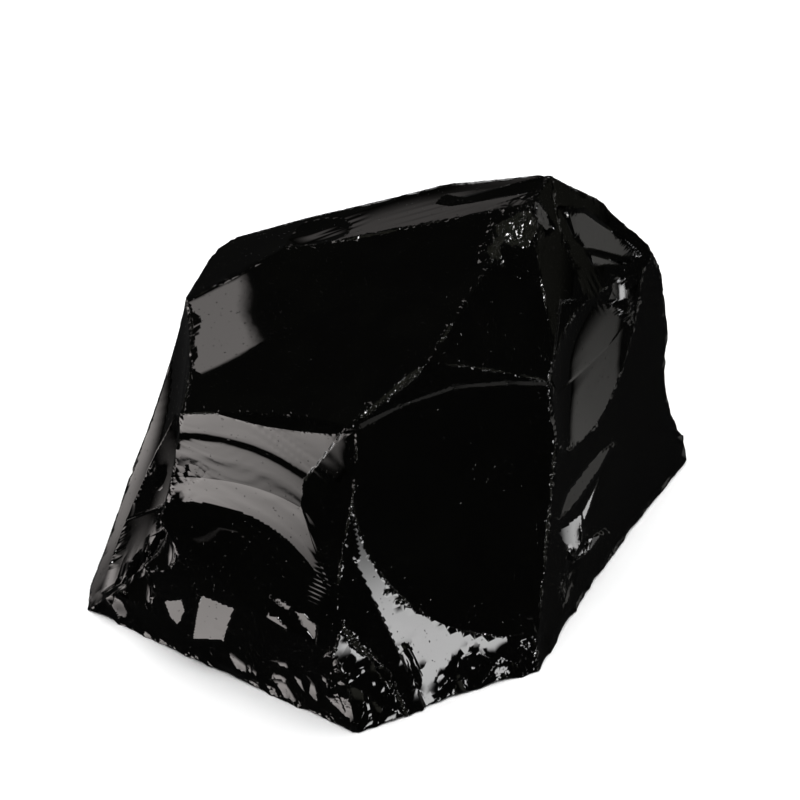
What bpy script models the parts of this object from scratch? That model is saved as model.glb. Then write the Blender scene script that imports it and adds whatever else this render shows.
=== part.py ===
"""A hand-sized chunk of obsidian: black volcanic glass, broken on every side.

The stone is what is left of a block after its breaks. A flat break is a plane. A hollow break
is part of a large ball, because glass breaks in shells, and some shells have ripples round the
point where the blow fell. Small chips follow the sharp ridges. Lengths below are millimetres,
bearings are degrees round the stone from the front (-Y) toward the right (+X), and rises are
degrees above level.
"""

import math
import random

import bmesh
import bpy
from mathutils import Matrix, Vector

MM = 0.001
BLOCK_SIDE = 150.0
MIDDLE = Vector((-2.0, 2.0, 24.0))

# Corners where the breaks meet. The base is at height 0, and the widest way is left to right.
CORNERS = {
    "peak": (15.9, 8.0, 55.1),
    "summit": (18.3, 12.0, 55.1),
    "crest": (0.0, 21.0, 48.8),
    "top_left": (-19.6, 14.0, 44.5),
    "left_shoulder": (-27.8, 12.0, 42.2),
    "left_brow": (-26.8, -13.0, 36.2),
    "brow": (-6.4, -22.3, 42.9),
    "junction": (4.1, -14.0, 46.5),
    "cheek": (20.2, -4.1, 37.4),
    "elbow": (25.5, 7.0, 37.8),
    "right_corner": (32.7, 20.7, 38.5),
    "keel": (-6.6, -27.1, 18.7),
    "left_knee": (-23.3, -15.0, 4.8),
    "left_hip": (-28.8, -14.0, 26.0),
    "left_toe": (-40.8, -2.3, 0.0),
    "front_toe": (-4.6, -27.2, 0.0),
    "right_toe": (19.1, -12.2, 0.0),
    "right_heel": (39.7, 28.8, 0.0),
    "rim_left": (-23.2, 23.2, 40.0),
    "rim_middle": (-11.0, 20.1, 45.9),
    "rim_right": (5.9, 20.1, 50.6),
    "rim_end": (18.3, 14.6, 55.1),
    "back_crown": (17.7, 23.1, 48.7),
    "right_crown": (25.9, 19.7, 48.2),
    "right_edge": (34.0, 24.0, 35.0),
    "right_back": (35.4, 33.0, 20.6),
    "back_brow": (7.0, 31.9, 41.8),
    "back_shoulder": (-13.3, 33.8, 34.8),
    "back_toe": (-13.4, 38.1, 0.0),
    "back_heel": (39.0, 35.3, 0.0),
    "left_back": (-35.5, 13.0, 10.0),
    "left_back_toe": (-38.0, 13.5, 0.0),
}

# Flat breaks: bearing and rise of the way each one faces, and its distance from the middle.
FLATS = {
    "base": (0, -90, 24.0),
    "front": (36, 9, 19.8),
    "front_foot": (29, 6, 21.7),
    "left_skirt": (-34, -6, 28.0),
    "top_left_bevel": (-112, 65, 26.3),
    "left_low": (-105, 17, 29.7),
    "left_high": (-103, 14, 30.8),
    "left_top": (-118, 28, 32.9),
    "back_top_left": (-160, 51, 29.7),
    "back_top": (-177, 53, 31.9),
    "back_top_right": (154, 49, 36.8),
    "right_top": (112, 26, 42.4),
    "right_high": (100, 11, 40.8),
    "right_low": (102, 11, 41.8),
    "back": (177, 7, 32.3),
    "back_left": (-135, 5, 31.4),
    "back_bevel": (156, 30, 36.0),
}

# Shells: three corners on the rim, the ball's radius, the corner that was struck, how far the
# shell reaches from it, the spacing of its rings and the height of its ripples.
SHELLS = {
    "top_face": ("brow", "top_left", "peak", 300.0, "peak", 70.0, 10.0, 0.0),
    "top_right_face": ("junction", "peak", "cheek", 200.0, "cheek", 60.0, 10.0, 0.0),
    "rippled_face": ("left_brow", "brow", "keel", 60.0, "left_knee", 44.0, 1.4, 0.07),
    "left_face": ("left_shoulder", "left_brow", "left_toe", 70.0, "left_toe", 58.0, 5.0, 0.0),
    "right_face": ("cheek", "right_toe", "right_heel", 400.0, "right_toe", 75.0, 9.0, 0.0),
    "far_top_face": ("top_left", "peak", "crest", 300.0, "crest", 55.0, 10.0, 0.0),
    "shoulder_face": ("peak", "cheek", "elbow", 150.0, "cheek", 40.0, 6.0, 0.0),
    "right_shoulder": ("summit", "elbow", "right_corner", 120.0, "elbow", 45.0, 6.0, 0.0),
}

# Hollows: the place of each one's middle, the bearing and rise it faces, its width and depth.
HOLLOWS = {
    "front_hollow": (7.9, -15.2, 26.5, 36, 9, 34.0, 1.9),
    "left_bowl": (-24.6, -21.8, 10.4, -18, 26, 31.0, 2.6),
    "brow_sliver": (-12.7, -18.9, 40.7, -32, 15, 16.0, 0.8),
    "keel_sliver": (-8.9, -22.7, 29.6, -22, 15, 20.0, 0.9),
    "elbow_panel": (25.8, 7.4, 34.5, 64, 6, 16.0, 1.2),
    "cheek_panel": (23.4, 2.3, 30.4, 64, 2, 12.0, 0.9),
    "elbow_chip": (27.1, 12.0, 39.8, 68, 25, 6.0, 0.8),
    "right_streak": (24.8, 3.1, 13.2, 64, 4, 10.0, 0.7),
    "right_chip": (22.9, -1.6, 9.5, 43, 16, 7.0, 0.9),
    "crest_lens": (-7.8, 15.0, 47.2, -110, 75, 11.0, 0.8),
    "left_scale_high": (-32.8, 5.4, 14.8, -63, 35, 5.0, 0.8),
    "left_scale_low": (-32.4, -2.7, 14.1, -71, 36, 5.0, 0.8),
    "back_hollow": (4.0, 35.5, 22.0, 178, 5, 30.0, 2.2),
    "back_scar": (-22.0, 26.5, 18.0, -137, 8, 20.0, 1.6),
    "back_high_scar": (14.0, 30.0, 40.0, 165, 40, 18.0, 1.4),
    "heel_scar": (34.0, 30.0, 16.0, 120, 8, 15.0, 1.5),
}

# Ridges with small chips: the two ends, how many chips lie between them and the widest one.
CHIPPED_RIDGES = (
    ("left_shoulder", "rim_left", 3, 3.0),
    ("rim_left", "rim_middle", 4, 3.2),
    ("rim_middle", "rim_right", 5, 3.2),
    ("rim_right", "rim_end", 4, 3.2),
    ("rim_end", "right_crown", 4, 3.0),
    ("right_crown", "right_corner", 4, 3.2),
    ("right_corner", "right_heel", 9, 3.4),
    ("right_heel", "right_toe", 12, 3.6),
    ("right_toe", "front_toe", 8, 3.6),
    ("front_toe", "left_toe", 12, 4.0),
    ("left_toe", "left_back", 2, 3.4),
    ("left_back", "left_shoulder", 5, 3.0),
    ("left_hip", "left_toe", 5, 3.6),
    ("keel", "front_toe", 5, 3.6),
    ("keel", "brow", 6, 2.0),
    ("brow", "junction", 5, 2.0),
    ("junction", "peak", 7, 2.2),
    ("cheek", "right_toe", 7, 2.4),
    ("peak", "cheek", 4, 2.0),
    ("rim_middle", "back_shoulder", 2, 7.0),
    ("back_crown", "back_brow", 2, 6.0),
    ("back_brow", "back_shoulder", 3, 7.0),
    ("back_shoulder", "back_toe", 4, 6.5),
    ("back_toe", "back_heel", 6, 6.0),
    ("back_heel", "right_back", 3, 6.0),
    ("right_back", "back_brow", 4, 7.0),
    ("left_back_toe", "back_toe", 5, 5.0),
    ("left_back", "left_back_toe", 2, 4.0),
)
NARROWEST_CHIP = 0.45
CHIP_HOLLOWNESS = (0.09, 0.16)
CHIP_LEAN = 0.55
SEED = 11


def facing(bearing, rise):
    """The unit vector for a bearing and a rise."""
    a, e = math.radians(bearing), math.radians(rise)
    return Vector((math.sin(a) * math.cos(e), -math.cos(a) * math.cos(e), math.sin(e)))


def corner(name):
    return Vector(CORNERS[name])


def ball_through(first, second, third, radius):
    """The centre of the ball that has this radius and three corners on it, outside the stone."""
    a, b, c = corner(first), corner(second), corner(third)
    normal = (b - a).cross(c - a)
    side = normal.normalized() if normal.dot(a - MIDDLE) > 0 else -normal.normalized()
    to_c, to_b, square = c - a, b - a, normal.length_squared
    across = (to_b.cross(to_c).cross(to_b) * to_c.length_squared
              + to_c.cross(to_b.cross(to_c)) * to_b.length_squared) / (2 * square)
    return a + across + side * math.sqrt(radius ** 2 - across.length_squared)


def ball_of_hollow(place, direction, width, depth):
    """Centre and radius of the ball that cuts a hollow of this width and depth."""
    radius = (width ** 2 / 4 + depth ** 2) / (2 * depth)
    return place + direction * (radius - depth), radius


def stone_reach(direction, balls):
    """How far the stone goes from its middle in this direction."""
    reaches = []
    for bearing, rise, distance in FLATS.values():
        slope = direction.dot(facing(bearing, rise))
        if slope > 0:
            reaches.append(distance / slope)
    for centre, radius in balls:
        along = direction.dot(centre - MIDDLE)
        inside = along ** 2 - (centre - MIDDLE).length_squared + radius ** 2
        if along > 0 and inside > 0:
            reaches.append(along - math.sqrt(inside))
    return min(reaches)


def add_object(name, bm, holder):
    mesh = bpy.data.meshes.new(name)
    bmesh.ops.recalc_face_normals(bm, faces=bm.faces)
    bm.to_mesh(mesh)
    bm.free()
    mesh.transform(Matrix.Scale(MM, 4))
    obj = bpy.data.objects.new(name, mesh)
    obj.parent = holder
    return obj


def flat_sided_block():
    """A block with every flat break cut off it."""
    bm = bmesh.new()
    bmesh.ops.create_cube(bm, size=BLOCK_SIDE, matrix=Matrix.Translation(MIDDLE))
    for bearing, rise, distance in FLATS.values():
        normal = facing(bearing, rise)
        cut = bmesh.ops.bisect_plane(
            bm, geom=bm.verts[:] + bm.edges[:] + bm.faces[:], dist=1e-5,
            plane_co=MIDDLE + normal * distance, plane_no=normal, clear_outer=True)
        rim = [item for item in cut["geom_cut"] if isinstance(item, bmesh.types.BMEdge)]
        bmesh.ops.edgeloop_fill(bm, edges=rim)
    return bm


def shell_plug(centre, radius, struck, reach, ring, ripple, steps):
    """A plug with a domed end, turned round the line from the ball's centre to the struck point."""
    widest = min(reach / radius, math.radians(75))
    rings = max(3, round(widest * radius / ring))
    bm = bmesh.new()
    profile = []
    for index in range(rings + 1):
        angle = widest * index / rings
        length = radius + (ripple if index % 2 else -ripple)
        profile.append((length * math.sin(angle), length * math.cos(angle)))
    across, along = profile[-1]
    profile.append((across, max(along - 60.0, -0.9 * along)))
    profile.append((0.0, profile[-1][1]))
    verts = [bm.verts.new((x, 0.0, z)) for x, z in profile]
    edges = [bm.edges.new(pair) for pair in zip(verts, verts[1:])]
    bmesh.ops.spin(
        bm, geom=verts + edges, cent=(0, 0, 0), axis=(0, 0, 1), angle=2 * math.pi,
        steps=steps, use_merge=True)
    bmesh.ops.remove_doubles(bm, verts=bm.verts, dist=1e-4)
    turn = (struck - centre).to_track_quat("Z", "Y").to_matrix().to_4x4()
    bmesh.ops.transform(bm, matrix=Matrix.Translation(centre) @ turn, verts=bm.verts)
    return bm


def chip_balls(balls, rng):
    """Places of the small chips along the ridges, as ball centres and radii."""
    chips = []
    for first, second, count, widest in CHIPPED_RIDGES:
        for index in range(count):
            share = (index + rng.uniform(0.15, 0.85)) / count
            toward = (corner(first).lerp(corner(second), share) - MIDDLE).normalized()
            place = MIDDLE + toward * stone_reach(toward, balls)
            lean = Vector([rng.uniform(-CHIP_LEAN, CHIP_LEAN) for _ in range(3)])
            width = widest * rng.uniform(NARROWEST_CHIP, 1.0)
            depth = width * rng.uniform(*CHIP_HOLLOWNESS)
            chips.append(ball_of_hollow(place, (toward + lean).normalized(), width, depth))
    return chips


def cutter_collection(name, cutters):
    """Cutters that one Boolean takes together. They are helpers, so they don't render."""
    group = bpy.data.collections.new(name)
    bpy.context.scene.collection.children.link(group)
    for cutter in cutters:
        cutter.hide_render = True
        cutter.display_type = "WIRE"
        group.objects.link(cutter)
    return group


def cut_away(obj, group):
    cut = obj.modifiers.new(group.name, "BOOLEAN")
    cut.operation = "DIFFERENCE"
    cut.operand_type = "COLLECTION"
    cut.collection = group
    cut.solver = "EXACT"


def obsidian_glass():
    material = bpy.data.materials.new("black volcanic glass")
    material.use_nodes = True
    shader = material.node_tree.nodes["Principled BSDF"]
    shader.inputs["Base Color"].default_value = (0.006, 0.006, 0.006, 1.0)
    shader.inputs["Roughness"].default_value = 0.05
    shader.inputs["Metallic"].default_value = 0.0
    return material


def stand_on_origin(obj, holder):
    """Moves the holder so that the middle of the stone's base box is at the world's origin."""
    bpy.context.view_layer.update()
    shape = obj.evaluated_get(bpy.context.evaluated_depsgraph_get())
    places = [obj.matrix_world @ vert.co for vert in shape.data.vertices]
    lows = [min(place[axis] for place in places) for axis in range(3)]
    highs = [max(place[axis] for place in places) for axis in range(3)]
    holder.location = (-(lows[0] + highs[0]) / 2, -(lows[1] + highs[1]) / 2, -lows[2])


def main():
    for old in list(bpy.data.objects):
        bpy.data.objects.remove(old, do_unlink=True)
    rng = random.Random(SEED)
    holder = bpy.data.objects.new("stone frame", None)
    bpy.context.scene.collection.objects.link(holder)

    balls, broken_faces = [], []
    for name, (a, b, c, radius, struck, reach, ring, ripple) in SHELLS.items():
        centre = ball_through(a, b, c, radius)
        balls.append((centre, radius))
        plug = shell_plug(centre, radius, corner(struck), reach, ring, ripple, steps=48)
        broken_faces.append(add_object(name, plug, holder))
    for name, (x, y, z, bearing, rise, width, depth) in HOLLOWS.items():
        place, direction = Vector((x, y, z)), facing(bearing, rise)
        centre, radius = ball_of_hollow(place, direction, width, depth)
        balls.append((centre, radius))
        plug = shell_plug(centre, radius, place, 0.8 * width, width / 7, 0.0, steps=24)
        broken_faces.append(add_object(name, plug, holder))

    chips = []
    for index, (centre, radius) in enumerate(chip_balls(balls, rng)):
        bm = bmesh.new()
        turn = Matrix.Rotation(rng.uniform(0, math.pi), 4, "X")
        bmesh.ops.create_icosphere(
            bm, subdivisions=2, radius=radius, matrix=Matrix.Translation(centre) @ turn)
        chips.append(add_object(f"chip {index + 1}", bm, holder))

    stone = add_object("obsidian_chunk", flat_sided_block(), holder)
    stone.data.materials.append(obsidian_glass())
    bpy.context.scene.collection.objects.link(stone)
    cut_away(stone, cutter_collection("broken faces", broken_faces))
    cut_away(stone, cutter_collection("ridge chips", chips))
    stand_on_origin(stone, holder)


main()
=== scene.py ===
# %% [markdown]
# # A chunk of obsidian
# Obsidian is volcanic glass. It has no grain, so it breaks in smooth hollow shells that meet in
# sharp ridges, and the ridges crumble into tiny bright chips. This notebook finishes one
# hand-sized lump of it. The stone is described as what is left after its breaks: every break is
# part of a ball, and a flat break is a ball so large that it looks flat. One function of
# direction then gives the whole surface.

# %% Load the frame
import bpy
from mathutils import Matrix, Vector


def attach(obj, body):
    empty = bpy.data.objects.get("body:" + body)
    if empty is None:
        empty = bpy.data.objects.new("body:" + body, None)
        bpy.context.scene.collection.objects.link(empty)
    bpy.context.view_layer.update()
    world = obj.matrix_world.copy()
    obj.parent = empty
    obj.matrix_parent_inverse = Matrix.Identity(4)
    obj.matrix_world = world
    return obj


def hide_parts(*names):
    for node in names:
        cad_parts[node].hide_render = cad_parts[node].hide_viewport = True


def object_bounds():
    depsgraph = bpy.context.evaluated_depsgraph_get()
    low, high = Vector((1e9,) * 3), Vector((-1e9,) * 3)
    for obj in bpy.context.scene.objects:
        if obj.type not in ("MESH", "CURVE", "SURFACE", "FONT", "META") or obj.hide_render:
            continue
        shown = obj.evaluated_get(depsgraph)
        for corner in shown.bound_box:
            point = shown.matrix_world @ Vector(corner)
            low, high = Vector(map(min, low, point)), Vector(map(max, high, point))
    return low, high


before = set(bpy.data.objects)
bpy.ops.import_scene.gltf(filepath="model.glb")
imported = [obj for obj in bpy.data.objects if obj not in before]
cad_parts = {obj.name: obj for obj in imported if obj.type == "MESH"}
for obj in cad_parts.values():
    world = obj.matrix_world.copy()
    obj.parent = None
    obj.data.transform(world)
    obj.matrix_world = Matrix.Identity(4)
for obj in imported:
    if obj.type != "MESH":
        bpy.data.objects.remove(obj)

cad_box = [list(corner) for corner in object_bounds()]

import math
import random

import bmesh
import bpy
import numpy as np
from mathutils import Euler, Vector

MM = 0.001
print("CAD box in mm:", [[round(value / MM, 1) for value in corner] for corner in cad_box])

# %% [markdown]
# ## The corners and the large breaks
# A maker of stage rocks would first mark the corners where the big breaks meet, and then say
# which three corners each shell passes through. The solid in the frame was cut from the same
# corners. Some flat breaks and hollows lie a little differently here, because the way a break
# faces decides what it mirrors. Lengths are millimetres. A bearing runs round the stone from the
# front (-Y) toward the right (+X), and a rise is measured from level.

# %% Corners, flat breaks, shells and hollows
MIDDLE = np.array([-2.0, 2.0, 24.0])
BASE_SHIFT = np.array([0.40, -5.43, 0.0])

CORNERS = {
    "peak": (15.9, 8.0, 55.1),
    "summit": (18.3, 12.0, 55.1),
    "crest": (0.0, 21.0, 48.8),
    "top_left": (-19.6, 14.0, 44.5),
    "left_shoulder": (-27.8, 12.0, 42.2),
    "left_brow": (-26.8, -13.0, 36.2),
    "brow": (-6.4, -22.3, 42.9),
    "junction": (4.1, -14.0, 46.5),
    "cheek": (20.2, -4.1, 37.4),
    "elbow": (25.5, 7.0, 37.8),
    "right_corner": (32.7, 20.7, 38.5),
    "keel": (-6.6, -27.1, 18.7),
    "left_hip": (-28.8, -14.0, 26.0),
    "left_toe": (-40.8, -2.3, 0.0),
    "front_toe": (-4.6, -27.2, 0.0),
    "right_toe": (19.1, -12.2, 0.0),
    "right_heel": (39.7, 28.8, 0.0),
    "rim_left": (-23.2, 23.2, 40.0),
    "rim_middle": (-11.0, 20.1, 45.9),
    "rim_right": (5.9, 20.1, 50.6),
    "rim_end": (18.3, 14.6, 55.1),
    "back_crown": (17.7, 23.1, 48.7),
    "right_crown": (25.9, 19.7, 48.2),
    "right_back": (35.4, 33.0, 20.6),
    "back_brow": (7.0, 31.9, 41.8),
    "back_shoulder": (-13.3, 33.8, 34.8),
    "back_toe": (-13.4, 38.1, 0.0),
    "back_heel": (39.0, 35.3, 0.0),
    "left_back": (-35.5, 13.0, 10.0),
    "left_back_toe": (-38.0, 13.5, 0.0),
    "panel_top": (21.3, 2.7, 40.2),
    "panel_right": (30.0, 16.0, 31.2),
    "panel_foot": (19.8, -5.2, 28.4),
}
CORNERS = {name: np.array(place) for name, place in CORNERS.items()}

# Flat breaks: bearing and rise of the way each one faces, and its distance from the middle.
FLATS = {
    "base": (0, -90, 24.0),
    "front": (27.4, 6.0, 21.6),
    "front_foot": (23.8, 4.3, 22.9),
    "left_skirt": (-34, -6, 28.6),
    "top_left_bevel": (-112, 65, 26.3),
    "left_low": (-105, 17, 29.7),
    "left_high": (-103, 14, 30.8),
    "left_top": (-118, 28, 35.0),
    "back_top_left": (-160, 51, 29.7),
    "back_top": (-177, 53, 31.9),
    "back_top_right": (154, 49, 36.8),
    "right_top": (112, 26, 42.4),
    "right_high": (100, 11, 40.8),
    "right_low": (102, 11, 41.8),
    "back": (177, 7, 32.3),
    "back_left": (-135, 5, 31.4),
    "back_bevel": (156, 30, 36.0),
}

# Shells: three corners on the rim and the ball's radius.
SHELLS = {
    "top_face": ("brow", "top_left", "peak", 300.0),
    "top_right_face": ("junction", "peak", "cheek", 200.0),
    "rippled_face": ("left_brow", "brow", "keel", 60.0),
    "left_face": ("left_shoulder", "left_brow", "left_toe", 70.0),
    "right_face": ("cheek", "right_toe", "right_heel", 400.0),
    "far_top_face": ("top_left", "peak", "crest", 300.0),
    "shoulder_face": ("peak", "cheek", "elbow", 150.0),
    "right_shoulder": ("summit", "elbow", "right_corner", 120.0),
    "side_panel": ("panel_top", "panel_right", "panel_foot", 55.0),
}

# Hollows: the place of each one's middle, the bearing and rise it faces, its width and depth.
HOLLOWS = {
    "front_hollow": (21.4, -9.0, 35.2, 27.4, 6.0, 61.3, 4.2),
    "left_bowl": (-24.6, -21.8, 10.4, -18, 26, 31.0, 2.6),
    "brow_sliver": (-12.7, -18.9, 40.7, -32, 15, 16.0, 0.8),
    "crest_lens": (-8.6, 14.6, 47.3, -110, 73, 12.5, 0.45),
    "left_scale_high": (-32.8, 5.4, 14.8, -63, 35, 5.0, 0.8),
    "left_scale_low": (-32.4, -2.7, 14.1, -71, 36, 5.0, 0.8),
    "back_hollow": (4.0, 35.5, 24.0, 178, 5, 47.0, 2.4),
    "back_scar": (-23.0, 25.5, 22.0, -137, 8, 36.0, 1.8),
    "back_high_scar": (14.0, 30.0, 40.0, 165, 40, 18.0, 1.4),
    "heel_scar": (34.0, 30.0, 16.0, 120, 8, 15.0, 1.5),
    "scale_1": (-28.7, -1.0, 27.0, -55, 12, 6.0, 0.6),
    "scale_2": (-29.3, -4.0, 22.0, -60, 22, 6.0, 0.7),
    "scale_3": (-31.0, -4.5, 18.0, -52, 8, 6.5, 0.8),
    "scale_4": (-32.0, -5.5, 14.0, -62, 25, 6.0, 0.8),
    "scale_5": (-34.0, -4.5, 11.0, -50, 12, 6.0, 0.8),
    "scale_6": (-35.5, -3.5, 8.0, -65, 25, 6.0, 0.8),
    "scale_7": (-30.0, -10.5, 17.0, -45, 14, 5.0, 0.6),
    "scale_8": (-33.5, -8.0, 8.0, -48, 20, 6.0, 0.8),
}
print(len(FLATS), "flat breaks,", len(SHELLS), "shells,", len(HOLLOWS), "hollows")

# %% [markdown]
# ## One kind of cut for everything
# A flat break could stay a plane, but then every later step would need two branches. Here it is a
# ball a hundred metres in radius instead, so that all cuts are one array of centres and radii,
# measured from the middle of the stone.

# %% Balls for every break
FLAT_RADIUS = 1.0e5
FAR_AWAY = 1.0e3


def facing(bearing, rise):
    """The unit vector for a bearing and a rise in degrees."""
    a, e = np.radians(bearing), np.radians(rise)
    return np.array([np.sin(a) * np.cos(e), -np.cos(a) * np.cos(e), np.sin(e)])


def unit(vectors):
    """Each vector over its length."""
    return vectors / np.linalg.norm(vectors, axis=-1, keepdims=True)


def ball_through(a, b, c, radius):
    """The centre of the ball with this radius and three points on it, outside the stone: the
    centre of the points' circle, moved outward until its distance to each is the radius."""
    normal = np.cross(b - a, c - a)
    side = unit(normal) * np.sign(normal @ (a - MIDDLE))
    to_b, to_c = b - a, c - a
    across = np.cross(np.cross(to_b, to_c), to_b) * (to_c @ to_c)
    across = across + np.cross(to_c, np.cross(to_b, to_c)) * (to_b @ to_b)
    across = across / (2 * (normal @ normal))
    return a + across + side * math.sqrt(radius ** 2 - across @ across)


def hollow_ball(place, direction, width, depth):
    """A hollow's ball: its radius is (width squared / 4 + depth squared) / (2 depth)."""
    radius = (width ** 2 / 4 + depth ** 2) / (2 * depth)
    return place + direction * (radius - depth), radius


cut_names, cut_centres, cut_radii = [], [], []


def add_cut(name, centre, radius):
    cut_names.append(name)
    cut_centres.append(centre - MIDDLE)
    cut_radii.append(radius)


for name, (bearing, rise, distance) in FLATS.items():
    add_cut(name, MIDDLE + facing(bearing, rise) * (distance + FLAT_RADIUS), FLAT_RADIUS)
for name, (first, second, third, radius) in SHELLS.items():
    corners = [CORNERS[corner] for corner in (first, second, third)]
    add_cut(name, ball_through(*corners, radius), radius)
for name, (x, y, z, bearing, rise, width, depth) in HOLLOWS.items():
    add_cut(name, *hollow_ball(np.array([x, y, z]), facing(bearing, rise), width, depth))
large_cuts = len(cut_names)
print(large_cuts, "large cuts")


def near_side(along, power):
    """Distance along a ray to a ball's near side, and whether the ray meets the ball: with s the
    centre's length along the ray and k its squared length less the squared radius, the distance
    is s - root(s squared - k), or FAR_AWAY where the ray misses."""
    inside = along * along - power
    met = (inside > 0) & (along > 0)
    return np.where(met, along - np.sqrt(np.where(met, inside, 0.0)), FAR_AWAY), met


def distances(directions, centres, radii):
    """Distance from the middle to each ball's near side, one row per direction."""
    return near_side(directions @ centres.T, (centres * centres).sum(1) - radii * radii)[0]


def icosphere(subdivisions):
    """Directions and triangles of an even ball."""
    ball = bmesh.new()
    bmesh.ops.create_icosphere(ball, subdivisions=subdivisions, radius=1.0)
    directions = unit(np.array([vert.co for vert in ball.verts], dtype=float))
    faces = np.array([[vert.index for vert in face.verts] for face in ball.faces])
    ball.free()
    return directions, faces


# %% [markdown]
# ## Wide chips on the back and the foot
# On real glass a sharp ridge never stays whole: each knock takes a flake off it. The wide flakes
# are cut like the big breaks, drawn from the same seed in the same order as the solid's: ridge by
# ridge, each with its two corners, how many chips it has and the widest of them. The narrow ones
# come later as crushed glass, because a small round cut looks like a bubble where it lies on a
# flat break.

# %% Wide chips
CHIPPED_RIDGES = (
    ("left_shoulder", "rim_left", 3, 3.0),
    ("rim_left", "rim_middle", 4, 3.2),
    ("rim_middle", "rim_right", 5, 3.2),
    ("rim_right", "rim_end", 4, 3.2),
    ("rim_end", "right_crown", 4, 3.0),
    ("right_crown", "right_corner", 4, 3.2),
    ("right_corner", "right_heel", 9, 3.4),
    ("right_heel", "right_toe", 12, 3.6),
    ("right_toe", "front_toe", 8, 3.6),
    ("front_toe", "left_toe", 12, 4.0),
    ("left_toe", "left_back", 2, 3.4),
    ("left_back", "left_shoulder", 5, 3.0),
    ("left_hip", "left_toe", 5, 3.6),
    ("keel", "front_toe", 5, 3.6),
    ("keel", "brow", 6, 2.0),
    ("brow", "junction", 5, 2.0),
    ("junction", "peak", 7, 2.2),
    ("cheek", "right_toe", 7, 2.4),
    ("peak", "cheek", 4, 2.0),
    ("rim_middle", "back_shoulder", 2, 7.0),
    ("back_crown", "back_brow", 2, 6.0),
    ("back_brow", "back_shoulder", 3, 7.0),
    ("back_shoulder", "back_toe", 4, 6.5),
    ("back_toe", "back_heel", 6, 6.0),
    ("back_heel", "right_back", 3, 6.0),
    ("right_back", "back_brow", 4, 7.0),
    ("left_back_toe", "back_toe", 5, 5.0),
    ("left_back", "left_back_toe", 2, 4.0),
)
LEAST_CUT_WIDTH = 4.5
NARROWEST_CHIP = 0.45
CHIP_PLACE = (0.15, 0.85)
CHIP_HOLLOWNESS = (0.09, 0.16)
CHIP_LEAN = 0.55
CHIP_SEED = 11


def surface_points(toward):
    """Points of the stone, without its chips, in these directions from its middle."""
    directions = unit(toward)
    centres, radii = np.array(cut_centres[:large_cuts]), np.array(cut_radii[:large_cuts])
    return directions * distances(directions, centres, radii).min(1, keepdims=True)


chance = random.Random(CHIP_SEED)
for first, second, count, widest in CHIPPED_RIDGES:
    for index in range(count):
        share = (index + chance.uniform(*CHIP_PLACE)) / count
        toward = CORNERS[first] * (1 - share) + CORNERS[second] * share - MIDDLE
        place = surface_points(toward[None])[0]
        lean = np.array([chance.uniform(-CHIP_LEAN, CHIP_LEAN) for _ in range(3)])
        width = widest * chance.uniform(NARROWEST_CHIP, 1.0)
        depth = width * chance.uniform(*CHIP_HOLLOWNESS)
        if widest > LEAST_CUT_WIDTH:
            add_cut("chip", *hollow_ball(place + MIDDLE, unit(unit(toward) + lean), width, depth))
centres, radii = np.array(cut_centres), np.array(cut_radii)
print(len(cut_names), "cuts, of which", len(cut_names) - large_cuts, "are chips")

# %% [markdown]
# ## Ripples and waves
# A shock that runs through glass leaves ripples round the point of the blow, like rings on water.
# They are strong on the left front shell and faint elsewhere. Every break also has slow waves,
# from a hundredth to a few tenths of a millimetre high: they bend reflections without changing
# the outline. Small flat splinter faces are tilts of a patch of a break, and they are drawn as
# seen from the front, because there each one has to mirror its own card.

# %% Relief on the breaks
CAMERA_RISE, CAMERA_DISTANCE = 35.0, 375.0
AIM = np.array([0.0, 0.0, 31.2])
STRUCK = np.array([-26.0, -17.5, 5.5]) - MIDDLE
RING_DRIFT = 0.13
RINGS_START = -25.0

# Ribs on the left front shell: distance from the struck point, width and steepness.
RIBS = (
    (34.2, 0.50, 0.030),
    (31.0, 0.30, -0.035),
    (30.2, 0.50, 0.190),
    (27.9, 0.30, -0.030),
    (27.1, 0.60, 0.032),
    (25.0, 0.35, -0.025),
    (24.2, 0.65, 0.030),
    (22.4, 0.25, -0.030),
)
RIB_CUTS = ("rippled_face", "left_bowl")
# Fine flow lines between the ribs: wave length and steepness, how they drift across the rings,
# and how they come and go.
FLOW_LINES = ((0.9, 0.018), (1.7, 0.018), (3.4, 0.014))
FLOW_BEND = np.array([0.55, 0.2, 0.35])
FLOW_DRIFT, FLOW_PATCHES, FLOW_SHIFT = 1.3, 1.3, 9.0
# Inside the last rib the surface climbs: where from, how steeply and how soon it levels out.
STEP_AT, STEP_SLOPE, STEP_FADE = 21.0, 0.25, 2.8

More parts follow.
